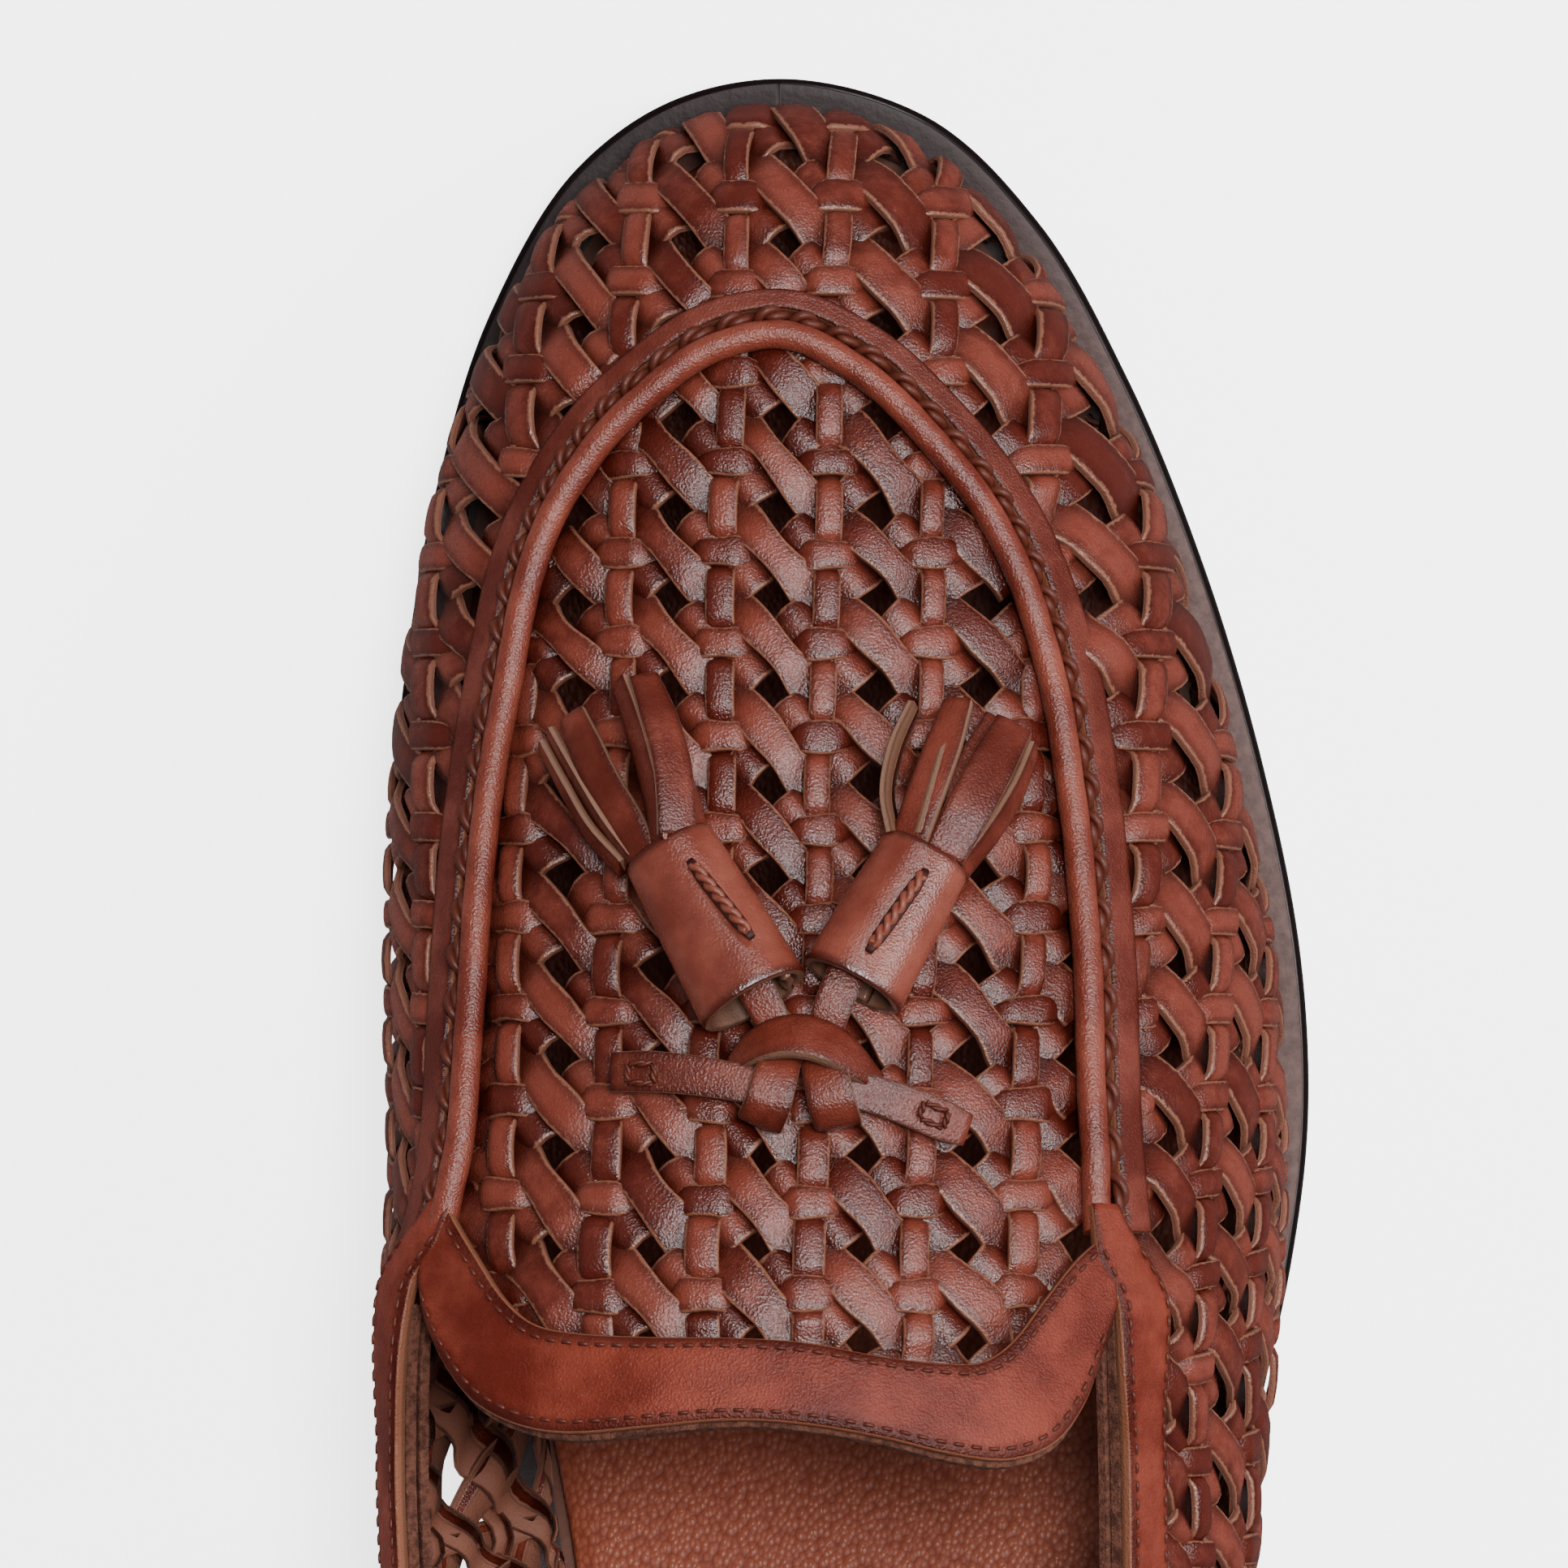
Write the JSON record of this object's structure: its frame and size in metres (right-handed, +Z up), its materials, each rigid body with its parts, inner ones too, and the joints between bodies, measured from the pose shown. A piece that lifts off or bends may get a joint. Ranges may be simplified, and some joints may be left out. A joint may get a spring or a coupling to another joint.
{
  "type": "woven tassel loafer",
  "caption": "Right loafer in woven leather strips with a piped apron, smooth collar, small tassels, a flat leather sole and a low stacked heel.",
  "frame": {"origin": "on the floor under the middle of the shoe's bounding box", "axes": "+Z up, +Y toward the toe, +X toward the little-toe side"},
  "size_m": [0.1062, 0.2994, 0.0837],
  "materials": {
    "woven_leather": "burnished reddish brown calf, semi-gloss",
    "smooth_leather": "burnished reddish brown calf, semi-gloss",
    "tassel_leather": "burnished reddish brown calf, glossy",
    "sole_leather": "dark brown waxed sole leather",
    "insole_leather": "brown pebbled lining leather, low gloss",
    "heel_rubber": "black matt rubber"
  },
  "bodies": {
    "root": {"upper": "woven_leather", "outsole": "sole_leather", "heel_stack": "sole_leather", "heel_tip": "heel_rubber", "insole": "insole_leather", "apron_piping": "smooth_leather", "seam_band": "smooth_leather", "collar_band": "smooth_leather", "back_strap": "smooth_leather", "strap_left": "tassel_leather", "strap_right": "tassel_leather", "knot": "tassel_leather", "lace_left": "tassel_leather", "lace_right": "tassel_leather", "barrel_left": "tassel_leather", "barrel_right": "tassel_leather", "fringe_left": "tassel_leather", "fringe_right": "tassel_leather"}
  },
  "joints": []
}
